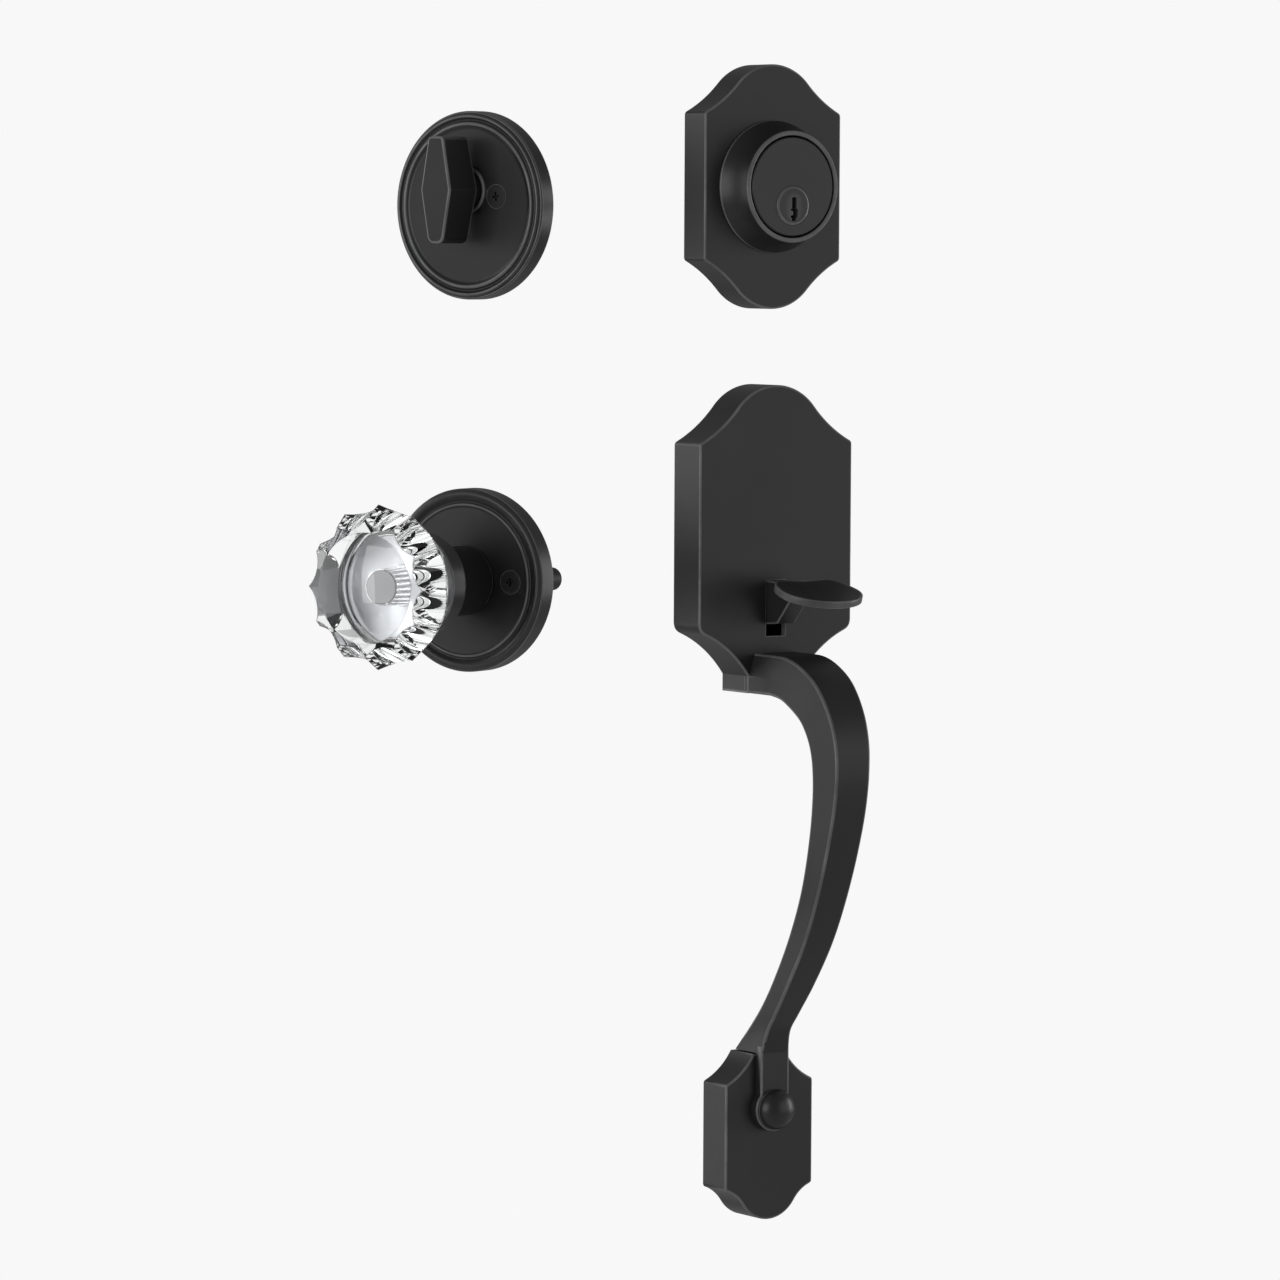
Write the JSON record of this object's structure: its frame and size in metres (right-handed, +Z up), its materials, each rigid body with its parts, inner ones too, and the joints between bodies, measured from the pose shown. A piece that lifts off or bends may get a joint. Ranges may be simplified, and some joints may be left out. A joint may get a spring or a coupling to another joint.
{
  "type": "entry door handleset",
  "caption": "Satin black entry door handleset with keyed deadbolt, curved grip and thumb lever outside, and a thumbturn and clear fluted glass knob inside",
  "frame": {"origin": "axis of the latch bore where it meets the door's outer face", "axes": "+X to the right as seen from outside, +Y into the door, +Z up"},
  "size_m": [0.1848, 0.1709, 0.4279],
  "materials": {
    "satin_black": "satin black powder coat over zinc casting",
    "zinc_plated_steel": "dull zinc plate",
    "brass": "plain drawn brass",
    "clear_glass": "clear pressed glass, fire polished"
  },
  "bodies": {
    "door_furniture": {"deadbolt_plate": "satin_black", "cylinder_collar": "satin_black", "cylinder_housing": "satin_black", "handle_casting": "satin_black", "handle_backplate": "zinc_plated_steel", "thumb_pivot_pin": "zinc_plated_steel", "lower_plate": "satin_black", "foot_dome_screw": "satin_black", "thumbturn_rosette": "satin_black", "thumbturn_backplate": "zinc_plated_steel", "thumbturn_screws": "satin_black", "knob_rosette": "satin_black", "knob_backplate": "satin_black", "knob_screws": "satin_black", "knob_return_spring": "zinc_plated_steel"},
    "plug": {"cylinder_plug": "satin_black", "plug_cap": "zinc_plated_steel", "deadbolt_tailpiece": "zinc_plated_steel"},
    "thumb": {"thumb_lever": "satin_black"},
    "thumbturn": {"thumbturn_lever": "satin_black", "thumbturn_drive": "brass", "thumbturn_clip": "zinc_plated_steel"},
    "knob": {"knob_shank": "satin_black", "knob_bezel": "satin_black", "glass_knob": "clear_glass", "knob_set_screw": "zinc_plated_steel", "knob_spindle": "zinc_plated_steel", "knob_clip": "zinc_plated_steel"}
  },
  "joints": [
    {"name": "key_turn", "type": "hinge", "parent": "door_furniture", "child": "plug", "pos_m": [0, 0, 0.1397], "axis": [0, -1, 0], "range_deg": [-90, 90]},
    {"name": "thumb_press", "type": "hinge", "parent": "door_furniture", "child": "thumb", "pos_m": [0, -0.006, -0.002], "axis": [1, 0, 0], "range_deg": [0, 14], "stiffness_Nm_per_rad": 0.15, "springref_deg": -20.05},
    {"name": "thumbturn_turn", "type": "hinge", "parent": "door_furniture", "child": "thumbturn", "pos_m": [-0.0732, 0.0719, 0.1449], "axis": [-0.9511, -0.309, 0], "range_deg": [-90, 90]},
    {"name": "knob_turn", "type": "hinge", "parent": "door_furniture", "child": "knob", "pos_m": [-0.0736, 0.0726, -0.0003], "axis": [-0.9205, -0.3907, 0], "range_deg": [-60, 60], "stiffness_Nm_per_rad": 0.3}
  ]
}
